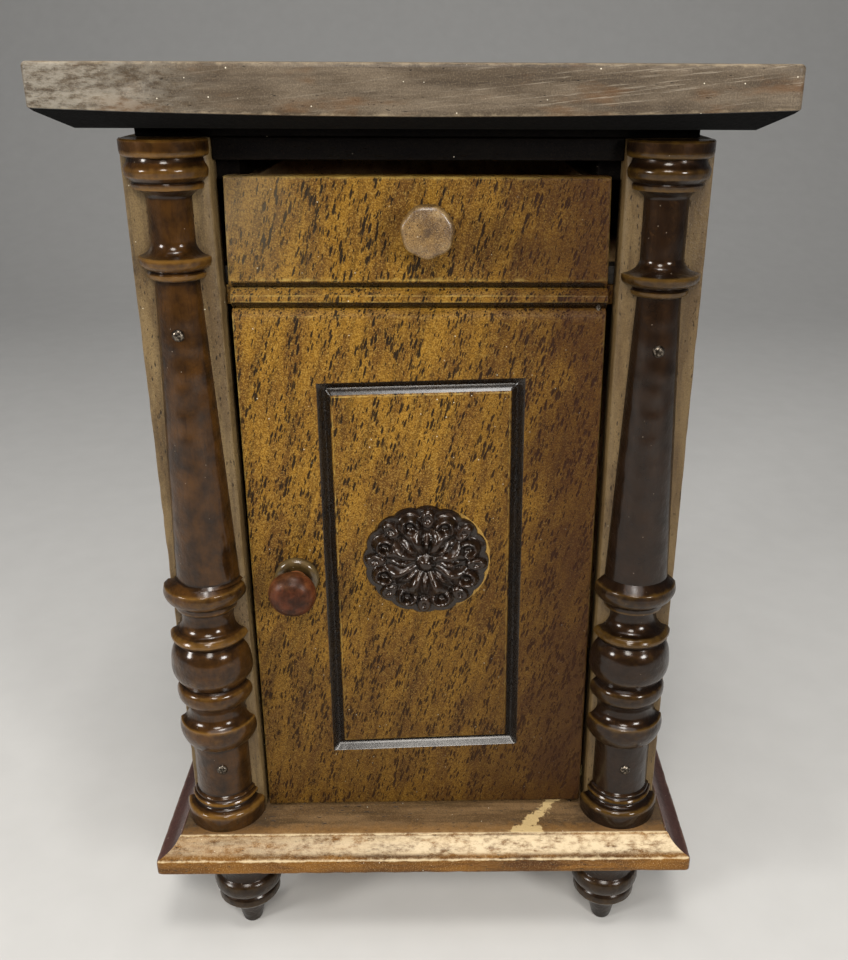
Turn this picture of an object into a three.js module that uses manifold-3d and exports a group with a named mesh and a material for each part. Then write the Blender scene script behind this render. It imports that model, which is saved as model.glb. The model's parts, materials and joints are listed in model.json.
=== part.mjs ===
// Miniature bedside cabinet: one drawer above one door, with split turned columns on the front posts,
// a moulded plinth and four turned feet. Millimetres, +Z up, front towards -Y, feet on z = 0.
import * as THREE from "three";
import { mergeVertices } from "three/addons/utils/BufferGeometryUtils.js";
import Module from "manifold-3d";

const wasm = await Module();
wasm.setup();

// ---------------------------------------------------------------- driving sizes
const topWidth = 180;
const topDepth = 122.4;
const topOverhang = 18.4; // from the posts' front face to the top board's front edge
const topThick = 14.9;
const faceY = topOverhang - topDepth / 2; // the posts' front face
const bodyDepth = 100;
const bodyHalf = 75.5; // half width over the side panels
const backY = faceY + bodyDepth;

const footHeight = 32.5;
const plinthThick = 10;
const plinthTop = footHeight + plinthThick;
const bodyTop = 255.3; // top of posts and side panels
const subTopThick = 2.8;
const sideThick = 6;
const backThick = 4;

const postWidth = 22.75;
const postThick = 7;
const postInner = bodyHalf - postWidth;
const sideInner = bodyHalf - sideThick;
const interiorBack = backY - backThick;
const postBack = faceY + postThick;
const columnX = bodyHalf - postWidth / 2;
const columnAxisSet = 2; // how far the columns' turning axis lies behind the posts' front face
const shaftFoot = 130; // height where the columns' tapered shafts begin

const frontRecess = 1.5; // drawer, rail and door faces behind the posts' faces
const frontThick = 6;
const frontY = faceY + frontRecess;
const frontBack = frontY + frontThick;
const grooveLeg = 1.8; // chamfers that make the V grooves between drawer, rail and door
const playGap = 0.3; // running gap between pieces that slide or swing past each other

const railTop = 216.6;
const railBottom = 211.3;
const drawerBottom = railTop + playGap;
const drawerTop = 245.7;
const doorTop = railBottom - playGap;
const doorBottomLeft = plinthTop + 0.8;
const doorBottomRight = plinthTop + 1.7;

const drawerBoxHalf = 49.6;
const drawerSideThick = 4;
const drawerBoxBack = faceY + 88;
const drawerSideTop = 243.5;
const stripThick = 5;

const pivotX = 48.6;
const pivotY = faceY + 3.5;
const pinRadius = 0.8;
const boreRadius = 0.88;
const doorKnobX = -37.8;
const doorKnobZ = 129.2;
const latchBack = frontBack + 0.5;

// ---------------------------------------------------------------- colours
const wood = (color, roughness = 0.45) => new THREE.MeshStandardMaterial({ color, roughness, metalness: 0 });
const finishes = {
  worn: () => wood(0x7a6350, 0.5),
  carcass: () => wood(0x4f3524, 0.55),
  front: () => wood(0x7b5531, 0.45),
  turned: () => wood(0x2c1a12, 0.2),
  knob: () => wood(0x8a6a4c, 0.4),
  inner: () => wood(0xa98255, 0.8),
  steel: () => new THREE.MeshStandardMaterial({ color: 0x8b857b, roughness: 0.35, metalness: 1 }),
};

const group = new THREE.Group();
group.name = "bedside_cabinet";

function addPart(name, geometry, finish) {
  const mesh = new THREE.Mesh(geometry, finishes[finish]());
  mesh.name = name;
  group.add(mesh);
}

// ---------------------------------------------------------------- solid helpers
// Merges equal vertices and drops the empty triangles that a lathe leaves on its axis.
function welded(geometry) {
  const bare = geometry.clone();
  bare.deleteAttribute("normal");
  bare.deleteAttribute("uv");
  const result = mergeVertices(bare, 1e-4);
  const kept = [];
  const index = result.index.array;
  for (let i = 0; i < index.length; i += 3) {
    const [a, b, c] = [index[i], index[i + 1], index[i + 2]];
    if (a !== b && b !== c && c !== a) {
      kept.push(a, b, c);
    }
  }
  result.setIndex(kept);
  return result;
}

function volumeOf(geometry) {
  const p = geometry.attributes.position;
  const index = geometry.index.array;
  const [a, b, c] = [new THREE.Vector3(), new THREE.Vector3(), new THREE.Vector3()];
  let sum = 0;
  for (let i = 0; i < index.length; i += 3) {
    a.fromBufferAttribute(p, index[i]);
    b.fromBufferAttribute(p, index[i + 1]);
    c.fromBufferAttribute(p, index[i + 2]);
    sum += a.dot(b.cross(c)) / 6;
  }
  return sum;
}

// Welds a closed geometry and turns its faces outwards.
function solid(geometry) {
  const result = welded(geometry);
  if (volumeOf(result) < 0) {
    const index = result.index.array;
    for (let i = 0; i < index.length; i += 3) {
      [index[i], index[i + 1]] = [index[i + 1], index[i]];
    }
  }
  return result;
}

function toManifold(geometry) {
  const vertProperties = new Float32Array(geometry.attributes.position.array);
  const triVerts = new Uint32Array(geometry.index.array);
  return new wasm.Manifold(new wasm.Mesh({ numProp: 3, vertProperties, triVerts }));
}

function fromManifold(manifold) {
  const mesh = manifold.getMesh();
  const geometry = new THREE.BufferGeometry();
  geometry.setAttribute("position", new THREE.BufferAttribute(mesh.vertProperties, 3));
  geometry.setIndex(new THREE.BufferAttribute(mesh.triVerts, 1));
  return geometry;
}

function join(first, ...others) {
  return fromManifold(others.reduce((sum, other) => sum.add(toManifold(other)), toManifold(first)));
}

function cut(first, ...tools) {
  return fromManifold(tools.reduce((rest, tool) => rest.subtract(toManifold(tool)), toManifold(first)));
}

function box(x0, x1, y0, y1, z0, z1) {
  const geometry = new THREE.BoxGeometry(x1 - x0, y1 - y0, z1 - z0);
  geometry.translate((x0 + x1) / 2, (y0 + y1) / 2, (z0 + z1) / 2);
  return solid(geometry);
}

// Triangles over a flat outline, wound the same way as the outline.
function capTriangles(points) {
  const outline = points.map((p) => new THREE.Vector2(p[0], p[1]));
  const triangles = THREE.ShapeUtils.triangulateShape(outline, []);
  const wound = (list) => THREE.ShapeUtils.isClockWise(list);
  const same = wound(triangles[0].map((i) => outline[i])) === wound(outline);
  return same ? triangles : triangles.map(([a, b, c]) => [a, c, b]);
}

// Joins rings that have equal numbers of points, and closes the first and the last one.
function loft(rings) {
  const count = rings[0].length;
  const index = [];
  for (let r = 0; r + 1 < rings.length; r += 1) {
    for (let i = 0; i < count; i += 1) {
      const a = r * count + i;
      const b = r * count + ((i + 1) % count);
      index.push(a, b, a + count, b, b + count, a + count);
    }
  }
  const last = (rings.length - 1) * count;
  for (const [a, b, c] of capTriangles(rings[0])) {
    index.push(a, c, b, last + a, last + b, last + c);
  }
  const geometry = new THREE.BufferGeometry();
  geometry.setAttribute("position", new THREE.Float32BufferAttribute(rings.flat(2), 3));
  geometry.setIndex(index);
  return solid(geometry);
}

// Extrudes a front-view outline of [x, z] points from y0 to y1.
function slab(outline, y0, y1) {
  const shape = new THREE.Shape(outline.map(([x, z]) => new THREE.Vector2(x, z)));
  const geometry = new THREE.ExtrudeGeometry(shape, { depth: y1 - y0, bevelEnabled: false });
  geometry.rotateX(Math.PI / 2);
  geometry.translate(0, y1, 0);
  return solid(geometry);
}

// Extrudes a side-view outline of [y, z] points from x0 to x1.
function bar(outline, x0, x1) {
  const shape = new THREE.Shape(outline.map(([y, z]) => new THREE.Vector2(y, z)));
  const geometry = new THREE.ExtrudeGeometry(shape, { depth: x1 - x0, bevelEnabled: false });
  geometry.rotateX(Math.PI / 2);
  geometry.rotateZ(Math.PI / 2);
  geometry.translate(x0, 0, 0);
  return solid(geometry);
}

// Turns a profile path of (radius, height) about the Z axis.
function turned(path, segments, curveSteps) {
  const geometry = new THREE.LatheGeometry(path.getPoints(curveSteps), segments);
  geometry.rotateX(Math.PI / 2);
  return solid(geometry);
}

// A round rod along Y or Z.
function rod(axis, radius, from, to, u, v, segments = 16) {
  const geometry = new THREE.CylinderGeometry(radius, radius, to - from, segments);
  if (axis === "z") {
    geometry.rotateX(Math.PI / 2);
    geometry.translate(u, v, (from + to) / 2);
  } else {
    geometry.translate(u, (from + to) / 2, v);
  }
  return solid(geometry);
}

// ---------------------------------------------------------------- top board
// A slab whose lower front arris bows down in the middle, above a shallow bevel on three sides.
function topBoard() {
  const half = topWidth / 2;
  const front = -topDepth / 2;
  const back = topDepth / 2;
  const bottom = bodyTop + subTopThick;
  const top = bottom + topThick;
  const arris = bottom + 4.9;
  const arrisBow = 1.7;
  const bevel = 8;
  const ease = 1.1;
  const steps = 8;
  const ring = (inset, height, backInset) => {
    const points = [];
    for (let i = 0; i <= steps; i += 1) {
      const t = (2 * i) / steps - 1;
      points.push([t * (half - inset), front + inset, height(t)]);
    }
    points.push([half - inset, back - backInset, height(1)]);
    points.push([-half + inset, back - backInset, height(1)]);
    return points;
  };
  return loft([
    ring(bevel, () => bottom, 0),
    ring(0, (t) => arris - arrisBow * (1 - t * t), 0),
    ring(0, () => top - ease, 0),
    ring(ease, () => top, ease),
  ]);
}

// ---------------------------------------------------------------- split columns
const latheRadius = (halfWidth) => Math.hypot(halfWidth, columnAxisSet);

// Half widths on the post against heights, from the base up. ringZ is the height of the upper ring.
function columnProfile(ringZ, ringHalf, waistHalf) {
  const path = new THREE.Path();
  const r = latheRadius;
  path.moveTo(0, plinthTop);
  path.lineTo(r(12.4), plinthTop);
  path.lineTo(r(12.6), 47); // base
  path.quadraticCurveTo(r(12.6), 48.6, r(11.4), 48.9);
  path.quadraticCurveTo(r(9.7), 49.2, r(9.7), 50.4); // cove
  path.quadraticCurveTo(r(11.2), 51.1, r(10.1), 52.1); // ring
  path.lineTo(r(9.6), 52.4);
  path.quadraticCurveTo(r(9.9), 53, r(9.3), 53.4); // thin ring
  path.lineTo(r(8.9), 53.8);
  path.lineTo(r(8.8), 71.6); // drum
  path.lineTo(r(10.4), 72.8);
  path.quadraticCurveTo(r(13), 76.4, r(11.6), 80.4); // ring under the cove
  path.quadraticCurveTo(r(9), 81.6, r(9), 84.6); // cove
  path.lineTo(r(9.9), 87.2);
  path.quadraticCurveTo(r(12.6), 89.8, r(11.2), 93);
  path.lineTo(r(10), 94.2);
  path.quadraticCurveTo(r(13.2), 98, r(12.4), 102.6); // bulb
  path.quadraticCurveTo(r(12.2), 106.4, r(10.2), 108.8);
  path.lineTo(r(11.4), 110.4);
  path.quadraticCurveTo(r(12.4), 111.4, r(11.2), 112.6); // flared ring
  path.quadraticCurveTo(r(waistHalf), 113.8, r(waistHalf), 118); // scotia
  path.lineTo(r(waistHalf + 0.3), 119.8);
  path.lineTo(r(9), 120.4);
  path.lineTo(r(9.6), 122.4);
  path.quadraticCurveTo(r(13.4), 124.6, r(12), 128.4); // ring under the shaft
  path.lineTo(r(9.5), 130.8);
  path.lineTo(r(6), ringZ - 5.8); // shaft
  path.quadraticCurveTo(r(8), ringZ - 5.4, r(7.9), ringZ - 4);
  path.lineTo(r(7.3), ringZ - 3.2); // small ring
  path.quadraticCurveTo(r(ringHalf), ringZ - 2.2, r(ringHalf), ringZ - 0.6);
  path.lineTo(r(ringHalf), ringZ + 0.4); // upper ring
  path.quadraticCurveTo(r(6.2), ringZ + 1.2, r(5.9), ringZ + 4.4);
  path.lineTo(r(6), 240.8); // neck
  path.quadraticCurveTo(r(6.6), 242.4, r(9.2), 243); // flare under the capital
  path.lineTo(r(9.5), 244.2); // thin ring
  path.lineTo(r(9.2), 244.7);
  path.quadraticCurveTo(r(12.2), 246.6, r(9.9), 249.9); // torus
  path.lineTo(r(9.7), 250.7);
  path.quadraticCurveTo(r(11.35), 250.9, r(11.35), 252.2);
  path.lineTo(r(11.35), 254.9); // flat disc at the top
  path.lineTo(r(11), bodyTop);
  path.lineTo(0, bodyTop);
  return path;
}

// A domed brad: its shank runs through the column into the post.
function brad(x, z, surfaceDepth) {
  const path = new THREE.Path();
  path.moveTo(0, -9);
  path.lineTo(0.5, -8.4);
  path.lineTo(0.5, 0);
  path.lineTo(1.7, 0);
  path.quadraticCurveTo(1.5, 0.8, 0, 1);
  const geometry = turned(path, 12, 3);
  geometry.rotateX(Math.PI / 2);
  geometry.translate(x, faceY - surfaceDepth, z);
  return geometry;
}

// shape: heights and half widths of one column, and how far to one side its part below the shaft sits.
function addPostSet(side, sign, shape) {
  const x0 = sign > 0 ? postInner : -bodyHalf;
  const ease = 1.6;
  const inner = sign * postInner;
  const innerWedge = loft([plinthTop - 1, bodyTop + 1].map((z) => [
    [inner - sign, faceY - 1, z],
    [inner + sign * (ease + 1), faceY - 1, z],
    [inner - sign, faceY + ease + 1, z],
  ]));
  const brads = {
    upper: brad(sign * columnX, shape.ringZ - 19.8, 4.83),
    lower: brad(sign * columnX, shape.bradZ, 7.02),
  };
  const post = box(x0, x0 + postWidth, faceY, postBack, plinthTop, bodyTop);
  addPart(`${side}_post`, cut(post, innerWedge, ...Object.values(brads)), "carcass");

  const turning = turned(columnProfile(shape.ringZ, shape.ringHalf, shape.waistHalf), 36, 3);
  const corners = turning.getAttribute("position");
  for (let i = 0; i < corners.count; i += 1) {
    if (corners.getZ(i) < shaftFoot) {
      corners.setX(i, corners.getX(i) + shape.offset);
    }
  }
  turning.translate(sign * columnX, faceY + columnAxisSet, 0);
  const behind = box(sign * columnX - 20, sign * columnX + 20, faceY, faceY + 20, 0, 300);
  addPart(`${side}_column`, cut(turning, behind, ...Object.values(brads)), "turned");
  for (const [place, geometry] of Object.entries(brads)) {
    addPart(`${side}_${place}_brad`, geometry, "steel");
  }
}

// ---------------------------------------------------------------- plinth and feet
// Side view of the moulding: flat top joint, hollow, arris and upright face, as [outwards, height].
function mouldingProfile() {
  const reach = 7;
  const shape = new THREE.Path();
  shape.moveTo(0, footHeight);
  shape.lineTo(reach - 0.5, footHeight);
  shape.lineTo(reach, footHeight + 0.6);
  shape.lineTo(reach, footHeight + 5.2);
  shape.quadraticCurveTo(2.2, footHeight + 5.9, 0.7, plinthTop - 0.5);
  shape.lineTo(0, plinthTop);
  return shape.getPoints(5).map((p) => [p.x, p.y]);
}

// Sweeps the moulding between two stations; each station maps outwards reach to a point.
function mouldingRun(start, end) {
  const profile = mouldingProfile();
  const rings = [start, end].map((station) => profile.map(([reach, z]) => [...station(reach), z]));
  const count = profile.length;
  const index = [];
  for (let i = 0; i < count; i += 1) {
    const next = (i + 1) % count;
    index.push(i, next, i + count, next, next + count, i + count);
  }
  for (const [a, b, c] of capTriangles(profile)) {
    index.push(a, c, b, count + a, count + b, count + c);
  }
  const geometry = new THREE.BufferGeometry();
  geometry.setAttribute("position", new THREE.Float32BufferAttribute(rings.flat(2), 3));
  geometry.setIndex(index);
  return solid(geometry);
}

function addPlinth(pinBore) {
  const half = 78.2;
  const front = faceY - 11.4;
  addPart("base_board", cut(box(-half, half, front, backY, footHeight, plinthTop), pinBore), "carcass");
  addPart("plinth_front", mouldingRun((r) => [-half - r, front - r], (r) => [half + r, front - r]), "worn");
  addPart("plinth_left", mouldingRun((r) => [-half - r, front - r], (r) => [-half - r, backY]), "carcass");
  addPart("plinth_right", mouldingRun((r) => [half + r, front - r], (r) => [half + r, backY]), "carcass");
}

function addFeet() {
  const path = new THREE.Path();
  path.moveTo(0, 0);
  path.lineTo(2.7, 0);
  path.quadraticCurveTo(3.1, 0.3, 3.3, 1.2);
  path.lineTo(5.8, 11.4); // tapered tip
  path.quadraticCurveTo(9.9, 11.6, 10.1, 13.6); // lower ring
  path.quadraticCurveTo(10.1, 15.8, 9.1, 16.6);
  path.quadraticCurveTo(11, 17.4, 11.2, 20); // upper ring
  path.quadraticCurveTo(11.1, 22.8, 9.6, 23.6);
  path.quadraticCurveTo(9.2, 25, 9.6, 27); // cup under the plinth
  path.lineTo(10.2, 30);
  path.lineTo(10.2, footHeight);
  path.lineTo(0, footHeight);
  for (const [name, x, y] of [
    ["front_left_foot", -59.6, faceY - 3.7],
    ["front_right_foot", 60.5, faceY - 3.7],
    ["back_left_foot", -60.5, backY - 15],
    ["back_right_foot", 60.5, backY - 15],
  ]) {
    addPart(name, turned(path, 20, 2).translate(x, y, 0), "turned");
  }
}

// ---------------------------------------------------------------- carcass
function addCarcass(pinBore) {
  addPart("top_board", topBoard(), "worn");
  addPart("sub_top", box(-72, 72, faceY + 3, backY, bodyTop, bodyTop + subTopThick), "carcass");
  addPart("frieze_rail", box(-postInner, postInner, faceY + 2.5, faceY + 8, 249.7, bodyTop), "carcass");
  addPart("left_side", box(-bodyHalf, -sideInner, postBack, backY, plinthTop, bodyTop), "carcass");
  addPart("right_side", box(sideInner, bodyHalf, postBack, backY, plinthTop, bodyTop), "carcass");
  addPart("back_panel", box(-sideInner, sideInner, interiorBack, backY, plinthTop, bodyTop), "inner");
  addPostSet("left", -1, { ringZ: 225.3, ringHalf: 9.6, waistHalf: 8, bradZ: 64.6, offset: -1.4 });
  addPostSet("right", 1, { ringZ: 220.9, ringHalf: 10.6, waistHalf: 7, bradZ: 63.5, offset: 0 });

  const leg = grooveLeg;
  const nose = bar([
    [frontY, railBottom + leg],
    [frontY + leg, railBottom],
    [postBack + 1, railBottom],
    [postBack + 1, railTop],
    [frontY + leg, railTop],
    [frontY, railTop - leg],
  ], -50.9, 50.7);
  const shelf = box(-sideInner, sideInner, postBack, interiorBack, railBottom, railTop);
  addPart("dividing_shelf", cut(join(nose, shelf), pinBore), "front");

  const stripFront = faceY + 8;
  for (const [side, sign] of [["left", -1], ["right", 1]]) {
    const strip = (inner, y0, z0, z1) => {
      const [x0, x1] = [sign * inner, sign * sideInner].sort((a, b) => a - b);
      return box(x0, x1, y0, interiorBack, z0, z1);
    };
    addPart(`${side}_shelf_cleat`, strip(62, postBack, railBottom - stripThick, railBottom), "inner");
    addPart(`${side}_drawer_guide`, strip(50, stripFront, railTop, railTop + stripThick), "inner");
    addPart(`${side}_drawer_kicker`, strip(47, stripFront, drawerSideTop + 0.8, 249.7), "inner");
  }
}

// ---------------------------------------------------------------- drawer
function addDrawer() {
  const knobX = 2.3;
  const knobZ = 233.2;
  const knobPath = new THREE.Path();
  const reach = 10.6;
  knobPath.moveTo(0, -frontThick);
  knobPath.lineTo(1.9, -frontThick);
  knobPath.lineTo(1.9, 0); // dowel through the drawer front
  knobPath.lineTo(4.1, 0);
  knobPath.quadraticCurveTo(2.9, 2.4, 3.2, 4.6); // waisted stem
  knobPath.quadraticCurveTo(6.3, 6, 7, 8.2);
  knobPath.lineTo(6.95, 9.4);
  knobPath.quadraticCurveTo(6.8, reach - 0.2, 5.8, reach);
  knobPath.lineTo(0, reach);
  const knob = turned(knobPath, 24, 3);
  knob.rotateX(Math.PI / 2);
  knob.translate(knobX, frontY, knobZ);

  const leg = grooveLeg;
  const outline = [[-51.2, drawerBottom], [50.5, drawerBottom], [49.8, drawerTop], [-50.3, drawerTop]];
  const dowelHole = rod("y", 1.9, frontY - 1, frontBack + 1, knobX, knobZ, 24);
  const chamfer = bar([
    [frontY - 1, drawerBottom - 1],
    [frontY + leg + 1, drawerBottom - 1],
    [frontY - 1, drawerBottom + leg + 1],
  ], -60, 60);
  const front = cut(slab(outline, frontY, frontBack), chamfer, dowelHole);
  addPart("drawer_front", front, "front");
  addPart("drawer_knob", cut(knob, box(-60, 60, frontBack, 60, 0, 300)), "knob");

  const inner = drawerBoxHalf - drawerSideThick;
  const [z0, z1] = [drawerBottom, drawerSideTop];
  const backFace = drawerBoxBack - drawerSideThick;
  addPart("drawer_left_side", box(-drawerBoxHalf, -inner, frontBack, drawerBoxBack, z0, z1), "inner");
  addPart("drawer_right_side", box(inner, drawerBoxHalf, frontBack, drawerBoxBack, z0, z1), "inner");
  addPart("drawer_back", box(-inner, inner, backFace, drawerBoxBack, z0, z1), "inner");
  addPart("drawer_bottom", box(-inner, inner, frontBack, backFace, z0 + 0.6, z0 + 2.6), "inner");
}

// ---------------------------------------------------------------- door
// A closed V groove along a four-cornered outline on the door's face.
function panelGroove(corners, width, depth) {
  const centre = corners.reduce(([sx, sz], [x, z]) => [sx + x / 4, sz + z / 4], [0, 0]);
  const inward = ([x, z], d) => [x - Math.sign(x - centre[0]) * d, z - Math.sign(z - centre[1]) * d];
  const positions = [];
  for (const corner of corners) {
    const [mx, mz] = inward(corner, width / 2);
    const [ix, iz] = inward(corner, width);
    positions.push(corner[0], frontY - 0.01, corner[1], mx, frontY + depth, mz, ix, frontY - 0.01, iz);
  }
  const index = [];
  for (let c = 0; c < 4; c += 1) {
    for (let k = 0; k < 3; k += 1) {
      const a = c * 3 + k;
      const b = c * 3 + ((k + 1) % 3);
      const a2 = ((c + 1) % 4) * 3 + k;
      const b2 = ((c + 1) % 4) * 3 + ((k + 1) % 3);
      index.push(a, b, a2, b, b2, a2);
    }
  }
  const geometry = new THREE.BufferGeometry();
  geometry.setAttribute("position", new THREE.Float32BufferAttribute(positions, 3));
  geometry.setIndex(index);
  return solid(geometry);
}

// Carved flower: a boss, a ring of drop-shaped petals and a scalloped rim with a dimple in each lobe.
function rosette(x, z) {
  const petals = 8;
  const lobes = 16;
  const radius = 17.9;
  const widening = 1.055;
  const radii = [0.1, 0.2, 0.3, 0.44, 0.58, 0.7, 0.8, 0.9, 1];
  const segments = 64;
  const bump = (t) => Math.exp(-t * t);
  const rise = (u, angle) => {
    const petalWave = Math.abs(Math.cos((petals * angle) / 2));
    const lobeWave = Math.abs(Math.cos((lobes * angle) / 2));
    const boss = 2 * bump(u / 0.17);
    const petal = 1.9 * bump((u - 0.52) / 0.24) * Math.sqrt(petalWave);
    const rim = 1.2 * bump((u - 0.93) / 0.12) * lobeWave;
    const dimple = 0.7 * bump((u - 0.82) / 0.08) * lobeWave;
    return 3 * Math.sqrt(1.05 - u * u) + boss + petal + rim - dimple;
  };
  const edge = (angle) => radius * (0.955 + 0.045 * Math.abs(Math.cos((lobes * angle) / 2)));
  const positions = [x, frontY - rise(0, 0), z, x, frontY, z];
  for (const u of [...radii, 1]) {
    const base = positions.length >= 3 * (2 + radii.length * segments);
    for (let s = 0; s < segments; s += 1) {
      const angle = (2 * Math.PI * s) / segments;
      const r = u * edge(angle);
      const y = base ? frontY : frontY - rise(u, angle);
      positions.push(x + widening * r * Math.cos(angle), y, z + r * Math.sin(angle));
    }
  }
  const index = [];
  const at = (ring, s) => 2 + ring * segments + (s % segments);
  for (let s = 0; s < segments; s += 1) {
    index.push(0, at(0, s), at(0, s + 1), 1, at(radii.length, s + 1), at(radii.length, s));
    for (let ring = 0; ring < radii.length; ring += 1) {
      index.push(at(ring, s), at(ring + 1, s), at(ring, s + 1));
      index.push(at(ring, s + 1), at(ring + 1, s), at(ring + 1, s + 1));
    }
  }
  const geometry = new THREE.BufferGeometry();
  geometry.setAttribute("position", new THREE.Float32BufferAttribute(positions, 3));
  geometry.setIndex(index);
  return solid(geometry);
}

// Domed turned knob on a spindle that runs through the collar and the door to the latch.
function doorKnob() {
  const path = new THREE.Path();
  const collar = 2.4;
  const tail = latchBack + 2.4 - frontY;
  path.moveTo(0, -tail);
  path.lineTo(1.5, -tail);
  path.lineTo(1.5, collar + 0.2);
  path.lineTo(3.6, collar + 0.2);
  path.quadraticCurveTo(2.8, 5, 3.6, 7.2); // neck
  path.quadraticCurveTo(7, 7.6, 7, 10.2);
  path.bezierCurveTo(7, 12.8, 4, 14.8, 0, 15); // dome
  const geometry = turned(path, 24, 4);
  geometry.rotateX(Math.PI / 2);
  return geometry.translate(doorKnobX, frontY, doorKnobZ);
}

function knobCollar() {
  const path = new THREE.Path();
  path.moveTo(1.58, 0);
  path.lineTo(6.6, 0);
  path.quadraticCurveTo(6.9, 1.6, 5.4, 2.1);
  path.lineTo(3.8, 2.4);
  path.lineTo(1.58, 2.4);
  path.lineTo(1.58, 0);
  const geometry = turned(path, 24, 3);
  geometry.rotateX(Math.PI / 2);
  return geometry.translate(doorKnobX, frontY, doorKnobZ);
}

function addDoor(pins) {
  const leg = grooveLeg - 0.1;
  const outline = [[-51.9, doorBottomLeft], [51.5, doorBottomRight], [50.5, doorTop], [-50.9, doorTop]];
  const chamfer = bar([
    [frontY - 1, doorTop + 1],
    [frontY + leg + 1, doorTop + 1],
    [frontY - 1, doorTop - leg - 1],
  ], -60, 60);
  const groove = panelGroove([[-29.3, 190.2], [29.2, 191.8], [30.0, 67.2], [-29.7, 64.9]], 4.2, 2.1);
  const spindleBore = rod("y", 1.58, frontY - 1, frontBack + 1, doorKnobX, doorKnobZ, 24);
  const board = cut(slab(outline, frontY, frontBack), chamfer, groove, spindleBore, ...pins);
  addPart("door_board", board, "front");
  addPart("rosette", rosette(1, 135), "turned");
  addPart("knob_collar", knobCollar(), "turned");

  const knob = doorKnob();
  const tongue = slab([
    [doorKnobX - 2.6, doorKnobZ - 3],
    [doorKnobX + 2.6, doorKnobZ - 3],
    [doorKnobX + 2.2, doorKnobZ + 19.5],
    [doorKnobX - 2.2, doorKnobZ + 19.5],
  ], latchBack, latchBack + 2.2);
  addPart("door_knob", knob, "turned");
  addPart("latch_tongue", cut(tongue, knob), "inner");
  addPart("upper_pivot_pin", pins[0], "steel");
  addPart("lower_pivot_pin", pins[1], "steel");
}

// ---------------------------------------------------------------- assembly
const pins = [
  rod("z", pinRadius, doorTop - 9, railTop - 1, pivotX, pivotY),
  rod("z", pinRadius, plinthTop - 6, doorBottomRight + 9, pivotX, pivotY),
];
const upperBore = rod("z", boreRadius, railBottom - 1, railTop - 0.9, pivotX, pivotY);
const lowerBore = rod("z", boreRadius, plinthTop - 6.1, plinthTop + 1, pivotX, pivotY);

addCarcass(upperBore);
addPlinth(lowerBore);
addFeet();
addDrawer();
addDoor(pins);

export default group;
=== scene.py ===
"""Looks for the miniature bedside cabinet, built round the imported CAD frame.

Metres, +Z up, front towards -Y. Worn open-pored boards, glossy split turnings and a carved rosette.
"""

import json
import math
from collections import Counter

import bmesh
import bpy
import numpy as np
from mathutils import Matrix, Vector, noise


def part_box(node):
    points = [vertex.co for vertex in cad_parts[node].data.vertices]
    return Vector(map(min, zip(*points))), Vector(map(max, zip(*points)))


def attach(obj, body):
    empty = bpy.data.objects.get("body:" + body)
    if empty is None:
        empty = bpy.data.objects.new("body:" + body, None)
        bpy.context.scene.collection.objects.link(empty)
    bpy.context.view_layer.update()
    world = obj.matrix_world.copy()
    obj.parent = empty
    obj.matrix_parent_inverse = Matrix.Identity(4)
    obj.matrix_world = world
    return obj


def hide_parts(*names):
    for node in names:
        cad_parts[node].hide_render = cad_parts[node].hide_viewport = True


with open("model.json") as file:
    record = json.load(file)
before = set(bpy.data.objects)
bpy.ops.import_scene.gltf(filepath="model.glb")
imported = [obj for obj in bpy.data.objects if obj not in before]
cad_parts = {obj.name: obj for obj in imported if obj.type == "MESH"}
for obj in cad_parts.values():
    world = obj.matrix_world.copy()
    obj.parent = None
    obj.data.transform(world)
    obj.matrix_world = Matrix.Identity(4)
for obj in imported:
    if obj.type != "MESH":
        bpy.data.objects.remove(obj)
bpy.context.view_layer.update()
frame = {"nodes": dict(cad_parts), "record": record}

MM = 0.001

# Set out in the CAD and repeated here, in millimetres.
groove_width, groove_deepest = 4.2, 2.1
groove_corners = [(-29.7, 64.9), (30.0, 67.2), (29.2, 191.8), (-29.3, 190.2)]
chamfer_leg = 1.8
column_axis_set = 2
shaft_foot = 130
left_column_offset = -1.4
plinth_reach = 7

# The relief attribute runs from 1 on worn arrises to below 0 where the colour is darkened, as dirt and
# painted shade. This is deep shade, painted near black.
painted_shade_mark = -2

record = frame["record"]
body_of = {n: body for body, nodes in record["behaviour"]["bodies"].items() for n in nodes}


# ------------------------ camera, floor and light
def add_camera():
    """The photograph's viewpoint: a little above the top board, looking down at the front."""
    location = Vector((5.8, -302.0, 273.2)) * MM
    pitch, yaw, roll = (math.radians(a) for a in (22.13, 0.96, 0.25))
    data = bpy.data.cameras.new("camera")
    data.sensor_width = 36
    data.lens = 36.74
    data.shift_x = -0.0345
    data.shift_y = -0.0208
    data.clip_start = 0.01
    camera = bpy.data.objects.new("camera", data)
    turn = Matrix.Rotation(-yaw, 4, "Z") @ Matrix.Rotation(math.pi / 2 - pitch, 4, "X")
    camera.matrix_world = Matrix.Translation(location) @ turn @ Matrix.Rotation(roll, 4, "Z")
    bpy.context.scene.collection.objects.link(camera)
    bpy.context.scene.camera = camera


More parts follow.
